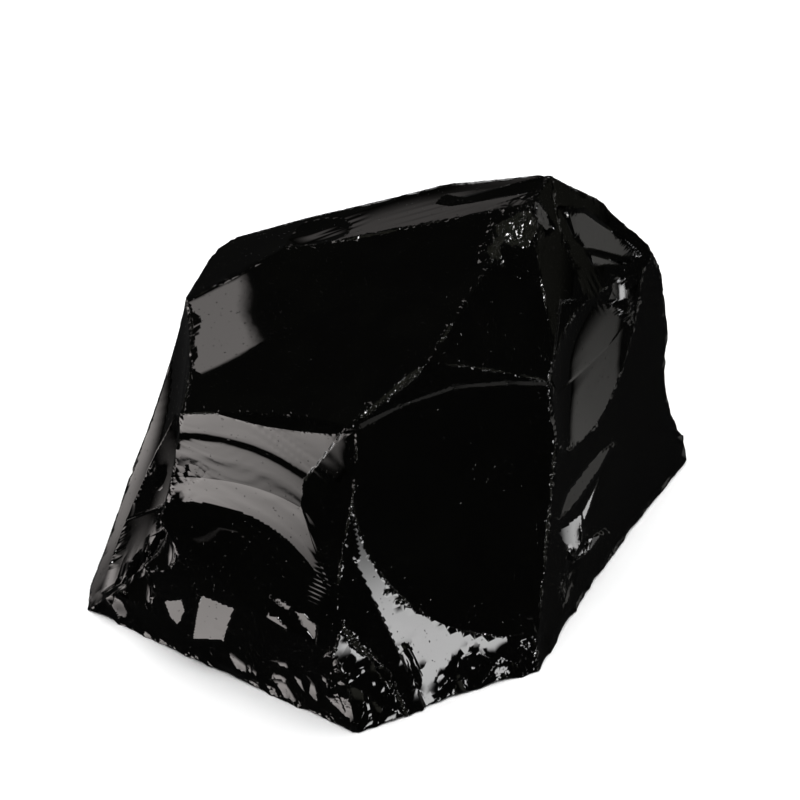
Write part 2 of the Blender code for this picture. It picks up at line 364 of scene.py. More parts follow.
# Tilted patches as seen from the front: corners in millimetres to the right of and above the
# point that the camera aims at, the place it turns about if that isn't its middle, softness of the
# edge, and the bearing and rise that it mirrors. The corners go round an outline that never bends
# inward, so a patch that does is made of several.
PATCHES = {
    "keel shade": (
        ((-6.9, -3.5), (-12.1, -10.0), (-12.4, -13.2), (-10.8, -17.5), (-8.6, -22.8),
         (-6.0, -28.8), (-2.5, -25.0), (-2.5, -3.5)),
        (-12.2, -12.0), 0.2, -57, -8),
    "arc left": (
        ((-5.4, -2.9), (0.0, -0.4), (0.2, -1.1), (-4.8, -3.8)),
        None, 0.12, 66, 4),
    "arc middle": (
        ((0.0, -0.4), (6.6, 2.0), (6.9, 1.2), (0.2, -1.1)),
        None, 0.12, 66, 4),
    "arc right": (
        ((6.6, 2.0), (13.4, 2.6), (13.4, 1.7), (6.9, 1.2)),
        None, 0.12, 66, 4),
    "arc end": (
        ((13.4, 2.6), (19.6, 2.4), (19.5, 1.6), (13.4, 1.7)),
        None, 0.12, 66, 4),
    "tile": (
        ((-24.8, -24.1), (-20.4, -25.9), (-21.9, -30.2), (-26.2, -30.1), (-25.6, -26.4)),
        None, 0.25, -48, -36),
    "small tile": (
        ((-29.8, -25.0), (-27.1, -24.6), (-26.6, -26.4), (-27.8, -28.6), (-29.0, -27.2)),
        None, 0.3, -50, -36),
    "first streak": (
        ((-16.4, -24.4), (-14.5, -25.0), (-12.8, -26.5), (-14.4, -26.2)),
        None, 0.2, -48, -36),
    "second streak": (
        ((-13.8, -25.8), (-11.9, -26.5), (-10.2, -28.4), (-10.5, -30.5), (-12.1, -28.5)),
        None, 0.25, -48, -36),
    "third streak": (
        ((-16.8, -26.4), (-15.2, -27.0), (-13.6, -29.1), (-14.9, -28.8), (-16.8, -27.6)),
        None, 0.2, -48, -36),
    "fork": (
        ((-4.1, -31.1), (-3.0, -32.2), (-1.1, -34.1), (-0.4, -35.8), (-1.2, -36.2),
         (-2.5, -34.5)),
        None, 0.2, -46, -36),
    "ladder": (
        ((0.2, -30.2), (1.2, -30.6), (2.9, -34.4), (2.6, -36.2), (1.6, -35.5)),
        None, 0.25, 43, -34),
    "tip shade": (
        ((-7.8, -11.0), (-6.2, -12.5), (-4.9, -19.5), (-5.2, -20.2), (-7.8, -20.2)),
        (-5.5, -16.0), 0.15, 58, -26.2),
    "foot shade": (
        ((-7.5, -16.2), (-5.9, -19.5), (4.9, -35.5), (8.8, -42.5), (-7.5, -42.5), (-9.4, -25.0)),
        (-0.5, -27.5), 0.15, 59, -24.7),
    "corner shade": (
        ((6.9, -35.5), (14.0, -30.0), (18.5, -26.5), (20.6, -30.0), (18.1, -41.9), (6.9, -41.9)),
        (10.5, -32.8), 0.15, 48.5, -22.3),
    "edge shade": (
        ((-28.1, -1.5), (-26.9, -3.1), (-27.5, -12.5), (-34.2, -15.0), (-30.4, -6.2)),
        (-30.4, -6.2), 0.2, -105, -25),
    "lower edge shade": (
        ((-34.2, -15.0), (-27.5, -12.5), (-31.2, -20.0), (-36.5, -24.5), (-37.4, -23.8)),
        (-34.2, -15.0), 0.2, -105, -25),
    "crown strip": (
        ((16.1, 25.5), (17.6, 25.0), (19.5, 21.5), (18.5, 20.5), (17.0, 22.2)),
        None, 0.35, 112, -20),
    "mottled": (
        ((20.1, 23.8), (23.8, 24.0), (28.2, 20.2), (31.2, 18.0), (28.4, 17.2), (23.0, 18.8),
         (21.5, 20.5)),
        None, 0.5, 112, -19),
    "shelf": (
        ((23.0, 18.8), (28.4, 17.1), (28.0, 16.5), (24.0, 16.8)),
        None, 0.3, 112, -16),
    "bright chip": (
        ((27.5, 17.2), (28.4, 15.0), (29.1, 9.2), (25.8, 12.0)),
        None, 0.2, 102, -12),
    "upper panel": (
        ((20.0, 12.5), (30.6, 12.5), (29.2, 9.5), (26.5, 7.0), (23.8, 3.5), (20.5, -1.0),
         (18.8, 2.5)),
        (24.0, 4.0), 0.2, 116, -23),
    "crescent": (
        ((19.5, -15.2), (20.8, -11.5), (23.8, -7.5), (27.0, -5.0), (25.0, -8.8), (22.2, -12.9)),
        None, 0.2, 116, -24),
    "low chip": (
        ((19.5, -16.4), (22.8, -13.9), (23.0, -17.5), (21.6, -20.2)),
        None, 0.2, 102, -12),
    "low chip horn": (
        ((22.6, -14.1), (25.0, -9.4), (23.8, -13.5), (23.0, -15.5)),
        None, 0.15, 102, -12),
    "low chip foot": (
        ((23.1, -17.4), (26.1, -15.9), (24.0, -18.8), (21.6, -20.2)),
        None, 0.2, 102, -12),
    "crest shade": (
        ((4.0, 24.5), (18.1, 28.0), (17.5, 26.2), (8.8, 24.6)),
        None, 0.15, -166, 32),
}
# A patch acts on what faces within this cosine of its own normal, and out to this many times its
# farthest corner.
PATCH_REACH, PATCH_MARGIN = 0.9, 2.2

# Fine lines, as seen from the front: middle, half length and half width of the lined area, turn,
# the distance between lines and their steepness.
HACKLES = (
    (-9.7, -22.8, 2.2, 5.0, -25.0, 0.55, 0.36),
    (-29.5, 2.0, 5.0, 9.0, 22.0, 1.1, 0.035),
    (-7.8, 21.4, 5.0, 1.6, 20.0, 0.6, 0.07),
    (3.5, 23.0, 9.0, 2.2, 15.0, 0.7, 0.03),
    (25.0, 13.5, 3.5, 2.2, -62.0, 0.7, 0.16),
    (24.0, 4.0, 6.5, 4.0, 52.0, 1.6, 0.02),
)

# Slow waves: how much each break leans to and fro, in radians.
WAVE_LENGTHS = (9.0, 14.0, 23.0, 37.0)
WAVE_SLOPE = {
    "base": 0.0,
    "top_face": 0.0004,
    "front": 0.0015,
    "front_hollow": 0.0012,
    "top_right_face": 0.001,
    "far_top_face": 0.006,
    "crest_lens": 0.006,
    "left_face": 0.006,
    "rippled_face": 0.003,
    "left_skirt": 0.02,
    "front_foot": 0.005,
    "back_hollow": 0.025,
    "back_scar": 0.025,
    "back": 0.010,
    "back_left": 0.010,
    "back_high_scar": 0.02,
    "heel_scar": 0.02,
}
COMMON_SLOPE = 0.004
WAVE_SEED = 5
waves = np.random.default_rng(WAVE_SEED)
wave_vectors = unit(waves.normal(size=(2 * len(WAVE_LENGTHS), 3)))
wave_vectors *= 2 * np.pi / np.repeat(WAVE_LENGTHS, 2)[:, None]
wave_heights = 1 / np.linalg.norm(wave_vectors, axis=1)
wave_phases = waves.random((len(cut_names), len(wave_vectors))) * 2 * np.pi
wave_share = np.array([WAVE_SLOPE.get(name, COMMON_SLOPE) for name in cut_names])
wave_share[large_cuts:] = 0.0
has_ribs = np.array([name in RIB_CUTS for name in cut_names])
takes_patches = np.arange(len(cut_names)) < large_cuts


HARDEST_EDGE = 0.001


def fade(distance, width):
    """From 0 at an edge to 1 at the given width inside it: 3 k squared - 2 k cubed, with k the
    distance over the width."""
    k = np.clip(distance / max(width, HARDEST_EDGE), 0, 1)
    return k * k * (3 - 2 * k)


# %% [markdown]
# The patches are drawn on a pane that faces the camera squarely, at the point that it aims at. A
# place on the pane becomes a point of the stone by walking along the line of sight until it is
# inside the stone.

# %% Patches and fine lines where they are seen
SIGHT_SHARES, SIGHT_STEPS = (0.85, 1.15), 4000
RIGHT, SIGHT = np.array([1.0, 0.0, 0.0]), facing(0.0, CAMERA_RISE)
ABOVE = np.cross(SIGHT, RIGHT)
EYE = AIM - MIDDLE + SIGHT * CAMERA_DISTANCE


def seen(points):
    """Where points are seen from the front: millimetres right of and above the aim, at the aim's
    distance."""
    away = points - EYE
    scale = -CAMERA_DISTANCE / (away @ SIGHT)
    return away @ RIGHT * scale, away @ ABOVE * scale


def seen_at(u, v):
    """The point of the stone, without relief, that is seen at a place, and its outward normal:
    the first of many steps along the line of sight that is inside."""
    line = unit(RIGHT * u + ABOVE * v - SIGHT * CAMERA_DISTANCE)
    walk = np.linspace(*SIGHT_SHARES, SIGHT_STEPS)[:, None]
    steps = EYE + line * walk * CAMERA_DISTANCE
    found = distances(unit(steps), centres[:large_cuts], radii[:large_cuts])
    first = (np.linalg.norm(steps, axis=1) < found.min(1)).argmax()
    return steps[first], unit(centres[found[first].argmin()] - steps[first])


def inside_by(u, v, inward, borders):
    """How far places on the pane are inside an outline: the least distance to its sides."""
    return (np.stack([u, v], 1) @ inward.T - borders).min(1)


patches = []
for corners, hinge, soft, bearing, rise in PATCHES.values():
    corners = np.array(corners)
    place, normal = seen_at(*(hinge or corners.mean(0)))
    sides = np.roll(corners, -1, axis=0) - corners
    inward = unit(np.stack([sides[:, 1], -sides[:, 0]], 1))
    inward *= np.sign((inward * (corners.mean(0) - corners)).sum())
    tilt = normal - unit(facing(bearing, rise) + unit(EYE - place))
    size = PATCH_MARGIN * np.linalg.norm(corners - corners.mean(0), axis=1).max()
    patches.append((place, normal, size, inward, (inward * corners).sum(1), soft, tilt))
hackles = []
for u, v, half_length, half_width, turn, gap, steepness in HACKLES:
    c, s = math.cos(math.radians(turn)), math.sin(math.radians(turn))
    hackles.append((seen_at(u, v)[0], (u, v), (c, s), half_length, half_width, gap, steepness))
print(len(patches), "patches and", len(hackles), "areas of fine lines")

# %% [markdown]
# Heights are added up per break. The slopes that tip the corner normals come from the same sums,
# probed a few thousandths of a millimetre away, so light and shape never disagree.

# %% Heights and slopes
PROBE = 0.004
DEEPEST_RELIEF = 1.6
FARTHEST_POINT = 80.0
LEAST_SLANT = 0.15


def ring_of(points):
    """Distance from the struck point, less a drift that makes the rings wider to the right."""
    return np.linalg.norm(points - STRUCK, axis=1) - RING_DRIFT * (
        points[:, 0] + MIDDLE[0] - RINGS_START)


def ribs(points):
    """Each rib is a small step: height -steepness x width x tanh((distance - place) / width).
    Inside the last one the surface climbs and levels out: steepness x fade x
    (1 - e to the -(depth inside / fade)). Flow lines are sines of the ring distance plus a slow
    sine, which makes them cross the rings at a slant."""
    ring = ring_of(points)
    rise = np.zeros(len(points))
    for place, width, steepness in RIBS:
        rise -= steepness * width * (np.tanh((ring - place) / width) - 1)
    drift = np.sin(points @ FLOW_BEND) * FLOW_DRIFT
    for length, steepness in FLOW_LINES:
        bend = points @ FLOW_BEND[::-1] * FLOW_PATCHES + FLOW_SHIFT * length
        shown = 0.5 + 0.5 * np.sin(bend)
        turns = 2 * np.pi * (ring + drift) / length
        rise += shown * steepness * length / (2 * np.pi) * np.sin(turns)
    inside = np.maximum(STEP_AT - ring, 0)
    return rise + STEP_SLOPE * STEP_FADE * (1 - np.exp(-inside / STEP_FADE))


def relief(points, cuts):
    """Height of the relief at points on the given cuts: waves as a sum of sines, ribs on the left
    front shell, tilted patches, each its tilt vector . the offset inside a soft-edged outline, and
    hackles, each a sine inside a soft-edged window."""
    angles = points @ wave_vectors.T + wave_phases[cuts]
    rise = (np.sin(angles) * wave_heights * wave_share[cuts][:, None]).sum(1)
    ribbed = np.flatnonzero(has_ribs[cuts])
    rise[ribbed] += ribs(points[ribbed])
    plain = takes_patches[cuts]
    facing_out = unit(centres[cuts] - points)
    for place, normal, size, inward, borders, soft, tilt in patches:
        offset = points - place
        near = ((offset ** 2).sum(1) < size ** 2) & plain & (facing_out @ normal > PATCH_REACH)
        near = np.flatnonzero(near)
        u, v = seen(points[near])
        rise[near] += offset[near] @ tilt * fade(inside_by(u, v, inward, borders), soft)
    for place, (middle_u, middle_v), (c, s), half_length, half_width, gap, steepness in hackles:
        offset = points - place
        near = np.flatnonzero(((offset ** 2).sum(1) < (half_length + half_width) ** 2) & plain)
        u, v = seen(points[near])
        u, v = u - middle_u, v - middle_v
        along, across = u * c + v * s, v * c - u * s
        window = fade(half_length - np.abs(along), half_length)
        window *= fade(half_width - np.abs(across), half_width)
        step = 2 * np.pi / gap
        rise[near] += window * steepness / step * np.sin(step * across)
    return rise


def reach_of(directions, cuts):
    """Distance from the middle to one given cut in each direction, relief included. The relief
    is a height along the break's own normal, so it is divided by the ray's slant, and it is held
    to DEEPEST_RELIEF so that a steep tilt can't bite a notch."""
    chosen, sizes = centres[cuts], radii[cuts]
    along = (directions * chosen).sum(1)
    base, met = near_side(along, (chosen * chosen).sum(1) - sizes * sizes)
    points = directions * np.minimum(base, FARTHEST_POINT)[:, None]
    normals = unit(chosen - points)
    slant = np.maximum(np.abs((directions * normals).sum(1)), LEAST_SLANT)
    rise = np.clip(relief(points, cuts) / slant, -DEEPEST_RELIEF, DEEPEST_RELIEF)
    return base + np.where(met, rise, 0.0)


def normals_of(points, cuts):
    """Outward unit normals at points on the given cuts: toward the ball's centre, less the slope
    of the relief, which is measured by probing a short step away along each axis."""
    normals = unit(centres[cuts] - points)
    here = relief(points, cuts)
    slope = np.stack([relief(points + PROBE * axis, cuts) - here for axis in np.eye(3)], 1) / PROBE
    slope = slope - (slope * normals).sum(1, keepdims=True) * normals
    return unit(normals - slope)


print(len(RIBS), "ribs,", len(FLOW_LINES), "flow lines, waves of", WAVE_LENGTHS, "mm")

# %% [markdown]
# ## Which cut is the surface?
# In each direction the nearest cut wins. The relief moves a cut by a millimetre or two at most, so
# only the three that come nearest without it are tried with it. How much nearer the winner is
# than the runner-up also tells how far away the ridge between them is.

# %% The nearest cut in each direction
BLOCK = 20_000
TRIED = 3
MOST_RELIEF = 2.5
LEAST_BEND = 0.05
PROBE_LEVEL = 4


def surface(directions):
    """For each direction, the distance to the winning cut, that cut, the runner-up, and the
    distance along the surface to the ridge between the two: the difference of their distances
    over the difference of their normals."""
    parts = []
    for start in range(0, len(directions), BLOCK):
        block = directions[start:start + BLOCK]
        rows = np.arange(len(block))
        plain = distances(block, centres, radii)
        tried = np.argpartition(plain, TRIED, axis=1)[:, :TRIED]
        reached = np.take_along_axis(plain, tried, 1)
        close = reached < reached.min(1, keepdims=True) + MOST_RELIEF
        row, column = np.nonzero(close)
        reached[row, column] = reach_of(block[row], tried[row, column])
        order = reached.argsort(1)
        winner, runner = tried[rows, order[:, 0]], tried[rows, order[:, 1]]
        best, second = reached[rows, order[:, 0]], reached[rows, order[:, 1]]
        points = block * best[:, None]
        bend = unit(centres[winner] - points) - unit(centres[runner] - points)
        apart = (second - best) / np.maximum(np.linalg.norm(bend, axis=1), LEAST_BEND)
        parts.append((best, winner, runner, apart))
    return [np.concatenate(column) for column in zip(*parts)]


probe_reach = surface(icosphere(PROBE_LEVEL)[0])[0]
print("median distance from the middle:", round(float(np.median(probe_reach)), 1), "mm")

# %% [markdown]
# ## Crushed glass
# Where a ridge or a corner took many knocks, flake scars lie side by side and none is whole. They
# could be thousands of small cuts. Here they are one function instead: space is divided among
# scattered points, each point owns a shallow leaning bowl, and the lowest bowl wins. A mask says
# how deep the scars go at each place.

# %% Repeatable noise
PRIMES = (73856093, 19349663, 83492791, 49979687)
FOLDING_PRIME = 73244475
LOW_BITS, KEPT_BITS = 0xFFFFFFFF, 0xFFFFFF


def shuffled(cells, salt):
    """A repeatable random number from 0 to 1 for each whole-number cell, mixed from its three
    numbers by multiplying with large primes and folding the high bits onto the low ones."""
    key = salt * PRIMES[3]
    for axis in range(3):
        key = key ^ cells[:, axis] * PRIMES[axis]
    for _ in range(2):
        key = (key ^ (key >> 15)) * FOLDING_PRIME & LOW_BITS
    return ((key ^ (key >> 16)) & KEPT_BITS) / (KEPT_BITS + 1)


def smooth_noise(points, size, salt):
    """Soft lumps from -1 to 1 about this size: random values at the corners of a cube grid,
    blended by 3 t squared - 2 t cubed along each axis."""
    scaled = points / size
    home = np.floor(scaled).astype(int)
    t = scaled - home
    t = t * t * (3 - 2 * t)
    total = np.zeros(len(points))
    for corner in np.ndindex(2, 2, 2):
        weight = np.where(np.array(corner), t, 1 - t).prod(1)
        total += weight * shuffled(home + np.array(corner), salt)
    return 2 * total - 1


# How far the scars' cells are bent out of square and over what length, both in scar sizes, and
# the height at which a bowl ends, as a share of its hollowness.
BENT_BY, BENT_OVER, UNCUT = 0.45, 1.3, 0.62


def flake_scars(points, size, hollowness, lean, salt):
    """Depth of packed flake scars of about this size. Each cell of space owns a scar with its
    middle somewhere in the cell. At r from the middle, in scar sizes, its height is
    hollowness x r squared + lean vector . r, and the lowest scar wins."""
    bent = points + size * BENT_BY * np.stack(
        [smooth_noise(points, size * BENT_OVER, salt + axis) for axis in range(3)], 1)
    scaled = bent / size
    home = np.floor(scaled).astype(int)
    lowest = np.full(len(points), FAR_AWAY)
    for step in np.ndindex(3, 3, 3):
        cell = home + np.array(step) - 1
        random_parts = np.stack([shuffled(cell, salt + number) for number in range(3, 9)], 1)
        away = scaled - cell - random_parts[:, :3]
        tilt = (2 * random_parts[:, 3:] - 1) * lean
        lowest = np.minimum(lowest, hollowness * (away ** 2).sum(1) + (away * tilt).sum(1))
    return np.maximum(UNCUT * hollowness - lowest, 0) * size


few_places = np.arange(30.0).reshape(10, 3)
print("ten values of the noise:", smooth_noise(few_places, 3.0, 1).round(2))


# %% Where the glass is crushed
# For ridges between these breaks: depth of the fine scars, depth of the coarse ones, and how far
# they reach from the ridge.
RIDGE_CRUSH = {
    ("base", None): (0.35, 0.55, 1.6),
    ("top_face", "top_right_face"): (0.9, 0.0, 0.32),
    ("top_face", "front_hollow"): (1.0, 0.3, 0.75),
    ("top_face", "far_top_face"): (0.9, 0.0, 0.3),
    ("top_face", "rippled_face"): (0.8, 0.0, 0.3),
    ("top_right_face", "front_hollow"): (0.9, 0.0, 0.30),
    ("front_hollow", "front"): (0.6, 0.0, 0.2),
    ("rippled_face", "front"): (0.8, 0.0, 0.35),
    ("rippled_face", "front_hollow"): (0.8, 0.0, 0.35),
    ("left_bowl", "front"): (0.8, 0.0, 0.35),
    ("right_face", "front_hollow"): (0.9, 0.2, 0.5),
    ("right_face", "front"): (0.9, 0.6, 1.2),
    ("top_right_face", "shoulder_face"): (0.7, 0.0, 0.3),
    ("front_foot", "left_skirt"): (0.4, 1.0, 1.6),
    ("front", "front_foot"): (0.9, 0.2, 0.6),
    ("left_skirt", "left_bowl"): (0.0, 0.0, 0.1),
    ("rippled_face", "left_bowl"): (0.0, 0.0, 0.1),
    ("brow_sliver", None): (0.3, 0.0, 0.2),
    ("scale_1", None): (0.3, 0.0, 0.3),
    ("crest_lens", None): (0.3, 0.0, 0.2),
}
PLAIN_RIDGE_CRUSH = (0.6, 0.3, 0.45)

# Crushed patches: place, reach, depth of the fine scars and depth of the coarse ones.
CRUSHED = (
    (14.5, 5.5, 53.5, 2.8, 1.7, 0.3),
    (12.9, 2.3, 52.4, 2.2, 1.7, 0.2),
    (-4.6, -25.5, 5.0, 5.0, 0.0, 0.9),
    (8.0, -18.0, 1.5, 3.6, 0.3, 1.1),
    (15.0, -14.0, 2.5, 3.6, 0.5, 1.1),
    (-12.0, -24.0, 3.5, 5.0, 0.0, 0.55),
    (-22.0, -18.0, 1.5, 4.0, 0.0, 0.5),
    (-35.5, -5.5, 5.0, 3.5, 0.1, 1.1),
    (-33.0, -4.5, 15.0, 2.6, 0.0, 1.3),
    (-30.5, -4.0, 20.5, 2.4, 0.0, 1.3),
    (20.5, -5.0, 6.0, 2.6, 0.7, 0.8),
    (20.6, -4.6, 9.6, 1.2, 0.5, 0.3),
    (24.0, 0.5, 9.5, 1.8, 0.5, 0.4),
    (-25.5, -14.0, 30.6, 1.8, 0.25, 0.0),
    (-1.5, -22.8, 18.8, 0.35, 1.0, 0.0),
    (0.0, -22.3, 16.8, 0.45, 1.2, 0.0),
    (1.1, -21.8, 15.7, 0.3, 1.0, 0.0),
)
# Fine and coarse scars: size, hollowness and the salt of their random numbers.
FINE_SCARS, COARSE_SCARS = (0.95, 0.42, 100), (3.3, 0.34, 200)
SCAR_LEAN = 0.34
LEAST_SCAR = 0.02
# The fine scars on ridges come and go: mean share, swing, size of the lumps, salt, and the limits.
COME_AND_GO, LUMP_SIZE, LUMP_SALT, SHARE_LIMITS = (0.75, 0.9), 3.1, 40, (0.15, 1.2)


def crush_kind(first, second):
    """The row of RIDGE_CRUSH for the ridge between two cuts; the first that fits is taken."""
    names = {cut_names[first], cut_names[second]}
    for (one, other), kind in RIDGE_CRUSH.items():
        if one in names and (other is None or other in names):
            return kind
    return PLAIN_RIDGE_CRUSH


crush_table = np.array([[crush_kind(first, second) for second in range(len(cut_names))]
                        for first in range(len(cut_names))])


def crush_at(points, winner, runner, apart):
    """How deep the fine and the coarse scars go: the largest of depth x e to the
    -(distance / reach) squared over the nearest ridge and the crushed patches. Slow noise makes
    the fine ones come and go."""
    fine, coarse, spread = crush_table[winner, runner].T
    near = np.exp(-(apart / spread) ** 2)
    depths = [fine * near, coarse * near]
    for x, y, z, spread, fine, coarse in CRUSHED:
        squares = ((points - (np.array([x, y, z]) - MIDDLE)) ** 2).sum(1)
        near = np.exp(-squares / spread ** 2)
        depths = [np.maximum(depths[0], fine * near), np.maximum(depths[1], coarse * near)]
    mean, swing = COME_AND_GO
    share = np.clip(mean + swing * smooth_noise(points, LUMP_SIZE, LUMP_SALT), *SHARE_LIMITS)
    return depths[0] * share, depths[1]


def scars_at(points, fine_depth, coarse_depth):
    """How far the scars eat into the stone at these points."""
    eaten = np.zeros(len(points))
    for depth, (size, hollowness, salt) in ((fine_depth, FINE_SCARS),
                                            (coarse_depth, COARSE_SCARS)):
        rows = np.flatnonzero(depth > LEAST_SCAR)
        eaten[rows] += depth[rows] * flake_scars(points[rows], size, hollowness, SCAR_LEAN, salt)
    return eaten


print(len(RIDGE_CRUSH), "kinds of crushed ridge,", len(CRUSHED), "crushed patches")

# %% [markdown]
# ## A mesh that is fine only where it needs to be
# A dense grid would waste its faces on smooth breaks. Instead a coarse ball is split again and
# again, only where the wanted edge is shorter than the edge at hand: over ripples and fine lines,
# at the borders of patches and where the glass is crushed.

# %% Splitting triangles
def edges_of(faces):
    """Unique edges, and each face's three edge numbers in the order ab, bc, ca."""
    ends = np.sort(np.concatenate([faces[:, [0, 1]], faces[:, [1, 2]], faces[:, [2, 0]]]), axis=1)
    edges, index = np.unique(ends, axis=0, return_inverse=True)
    return edges, index.reshape(3, -1).T


def turned(faces, middles, times):
    """The corners a, b, c of these faces and the new points m, n, o on the edges ab, bc, ca,
    counted from another corner."""
    return [np.roll(part, -times, axis=1).T for part in (faces, middles)]


def stacked(*faces):
    """Each face, given as three columns of point numbers, as rows of three."""
    return [np.stack(corners, 1) for corners in faces]


def split_faces(faces, middles):
    """New faces. middles holds, for each face's three edges, the number of its new point or -1.
    A face with one, two or three new points becomes two, three or four faces."""
    marks = middles >= 0
    count = marks.sum(1)
    new_faces = [faces[count == 0]]
    for turn in range(3):
        one = (count == 1) & marks[:, turn]
        (a, b, c), (m, _, _) = turned(faces[one], middles[one], turn)
        new_faces += stacked((a, m, c), (m, b, c))
        two = (count == 2) & ~marks[:, (turn + 2) % 3]
        (a, b, c), (m, n, _) = turned(faces[two], middles[two], turn)
        new_faces += stacked((m, b, n), (a, m, n), (a, n, c))
    (a, b, c), (m, n, o) = turned(faces[count == 3], middles[count == 3], 0)
    new_faces += stacked((a, m, o), (m, b, n), (o, n, c), (m, n, o))
    return np.concatenate(new_faces)


START_LEVEL = 6
directions, faces = icosphere(START_LEVEL)
reach, cut_at, runner_up, apart = surface(directions)
print("starting ball:", len(faces), "triangles")

# %% [markdown]
# How short an edge should be depends on what light does there. A mirror shows every bend of a
# ripple, so the ripples get half-millimetre edges, while a smooth break would do with its corners
# alone. The back is seen less closely, so its edges are about twice as long.

# %% Wanted edge lengths
PLAIN_EDGE, BASE_EDGE = 2.0, 3.0
RIPPLE_EDGE, BOWL_EDGE = 0.45, 0.7
FINE_CRUSH_EDGE, COARSE_CRUSH_EDGE = 0.34, 0.66
# Scars deeper than this get the short edges.
FINE_FROM, COARSE_FROM = 0.22, 0.2
# The short edges at a patch's border and at the step inside the ribs, and how far they reach.
PATCH_EDGE, BORDER_REACH, STEP_REACH = 0.28, 0.6, 0.8
# Fine lines: edges as a share of the gap between the lines, and how far they reach.
LINE_SHARE, LINE_REACH = 0.3, 0.7
# What faces away from the camera by more than this cosine has edges this many times as long.
BACK_FROM, BACK_LONGER = -0.35, 2.2
# A triangle is split if an edge is this many times too long, and then all its edges that are
# this many times the wanted length.
TOO_LONG, ALSO_SPLIT = 1.35, 0.6
SPLIT_ROUNDS = 5
MOST_TRIANGLES = 120_000

base_cut = cut_names.index("base")
edge_on_cut = np.full(len(cut_names), PLAIN_EDGE)
edge_on_cut[cut_names.index("rippled_face")] = RIPPLE_EDGE
edge_on_cut[cut_names.index("left_bowl")] = BOWL_EDGE


def wanted_edges(points, winner, runner, apart):
    """The wanted edge at each point: what the cut there asks for, less where it is crushed, at
    the border of a patch, at the step and over the fine lines, and more at the back and below."""
    fine, coarse = crush_at(points, winner, runner, apart)
    wanted = edge_on_cut[winner]
    wanted = np.where(coarse > COARSE_FROM, np.minimum(wanted, COARSE_CRUSH_EDGE), wanted)
    wanted = np.where(fine > FINE_FROM, np.minimum(wanted, FINE_CRUSH_EDGE), wanted)
    u, v = seen(points)
    for place, _, size, inward, borders, _, _ in patches:
        border = np.abs(inside_by(u, v, inward, borders)) < BORDER_REACH
        border &= np.linalg.norm(points - place, axis=1) < size
        wanted[border] = np.minimum(wanted[border], PATCH_EDGE)
    for place, _, _, half_length, half_width, gap, _ in hackles:
        reached = LINE_REACH * (half_width + half_length)
        near = np.linalg.norm(points - place, axis=1) < reached
        wanted[near] = np.minimum(wanted[near], LINE_SHARE * gap)
    step = (np.abs(ring_of(points) - STEP_AT) < STEP_REACH) & has_ribs[winner]
    wanted[step] = np.minimum(wanted[step], PATCH_EDGE)
    toward_camera = unit(points) @ facing(0.0, CAMERA_RISE)
    wanted = np.where(toward_camera < BACK_FROM, BACK_LONGER * wanted, wanted)
    return np.where(winner == base_cut, BASE_EDGE, wanted)


for round_number in range(SPLIT_ROUNDS):
    points = directions * reach[:, None]
    edges, face_edges = edges_of(faces)
    lengths = np.linalg.norm(points[edges[:, 0]] - points[edges[:, 1]], axis=1)
    wanted = wanted_edges(points, cut_at, runner_up, apart)[edges].min(1)
    needy = (lengths > TOO_LONG * wanted)[face_edges].any(1)
    split = np.zeros(len(edges), bool)
    split[face_edges[needy].ravel()] = True
    split &= lengths > ALSO_SPLIT * wanted
    numbers = np.full(len(edges), -1)
    numbers[split] = len(directions) + np.arange(split.sum())
    fresh = unit(directions[edges[split, 0]] + directions[edges[split, 1]])
    found = surface(fresh)
    directions = np.concatenate([directions, fresh])
    reach, cut_at, runner_up, apart = [
        np.concatenate(pair) for pair in zip((reach, cut_at, runner_up, apart), found)]
    faces = split_faces(faces, numbers[face_edges])
    print("round", round_number + 1, ":", len(faces), "triangles")
    if len(faces) > MOST_TRIANGLES:
        break

# %% [markdown]
# A ridge that runs through the middle of a triangle would be rounded off. So every triangle that
# a ridge crosses is cut exactly on the ridge, and edges stay as sharp as real glass. Each piece
# remembers the break that it lies on.

# %% Cutting along the ridges
BISECTION_STEPS = 22
# New points keep this far from both ends of an edge, so that no triangle is a sliver.
SHARE_ON_EDGE = (0.02, 0.98)


def ridge_shares(start, end, first, second):
    """How far along each edge the two cuts are equally far: bisection on the difference of their
    reaches, which is below zero at the start and above it at the end."""
    low, high = np.zeros(len(start)), np.ones(len(start))
    for _ in range(BISECTION_STEPS):
        middle = (low + high) / 2
        ray = unit(start * (1 - middle[:, None]) + end * middle[:, None])
        before = reach_of(ray, first) < reach_of(ray, second)
        low, high = np.where(before, middle, low), np.where(before, high, middle)
    return (low + high) / 2


edges, face_edges = edges_of(faces)
crossed = cut_at[edges[:, 0]] != cut_at[edges[:, 1]]
start, end = directions[edges[crossed, 0]], directions[edges[crossed, 1]]
first, second = cut_at[edges[crossed, 0]], cut_at[edges[crossed, 1]]
share = np.clip(ridge_shares(start, end, first, second), *SHARE_ON_EDGE)[:, None]
fresh = unit(start * (1 - share) + end * share)
numbers = np.full(len(edges), -1)
numbers[crossed] = len(directions) + np.arange(crossed.sum())
directions = np.concatenate([directions, fresh])

